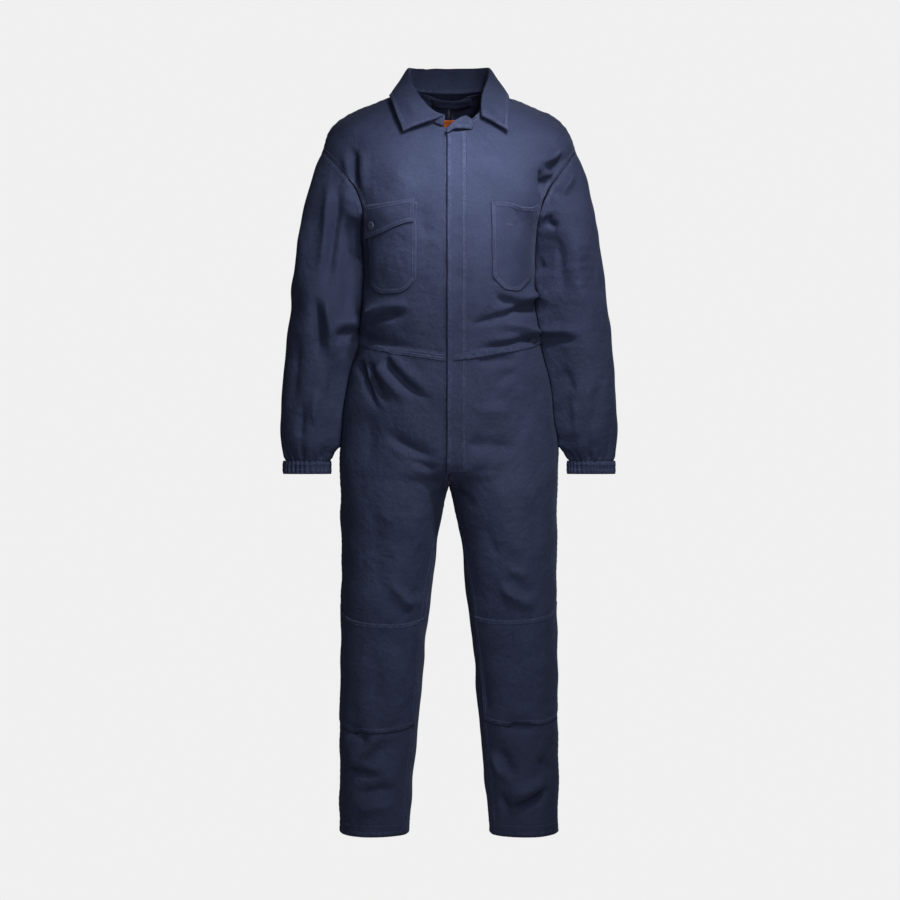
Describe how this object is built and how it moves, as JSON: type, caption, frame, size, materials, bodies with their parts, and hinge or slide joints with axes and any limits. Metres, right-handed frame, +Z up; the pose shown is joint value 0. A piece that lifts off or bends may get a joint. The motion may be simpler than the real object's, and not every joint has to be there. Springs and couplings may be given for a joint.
{
  "type": "boiler suit",
  "caption": "Long-sleeved boiler suit in navy cotton twill with a turned-down collar, covered front placket, chest pockets, waist seam, knee patches and gathered cuffs.",
  "frame": {"origin": "between the shoulders, on the centre line, where the wearer's shoulders carry the suit, 1455 mm above the hems", "axes": "+Z up along the suit from the hems to the collar; the front faces -Y; +X is towards the wearer's left sleeve"},
  "size_m": [0.676, 0.3135, 1.5378],
  "materials": {
    "navy_twill": "soft cotton twill, dark blue, slightly napped, with tone-on-tone topstitching",
    "cuff_twill": "the same twill gathered over elastic",
    "loop_tape": "narrow folded strip of the same twill",
    "label_tape": "bare woven orange tape",
    "button_plastic": "dark blue-grey four-hole button, satin"
  },
  "bodies": {
    "root": {"back_left": "navy_twill", "back_right": "navy_twill", "button": "button_plastic", "collar_leaf": "navy_twill", "collar_stand": "navy_twill", "cuff_left": "cuff_twill", "cuff_right": "cuff_twill", "front_left": "navy_twill", "front_right": "navy_twill", "hanger_loop": "loop_tape", "knee_patch_left": "navy_twill", "knee_patch_right": "navy_twill", "leg_back_left": "navy_twill", "leg_back_right": "navy_twill", "leg_front_left": "navy_twill", "leg_front_right": "navy_twill", "neck_label": "label_tape", "neck_tab": "navy_twill", "placket": "navy_twill", "pocket_flap": "navy_twill", "pocket_left": "navy_twill", "pocket_right": "navy_twill", "sleeve_left": "navy_twill", "sleeve_right": "navy_twill", "waist_band_back": "navy_twill", "waist_band_left": "navy_twill", "waist_band_right": "navy_twill"}
  },
  "joints": []
}
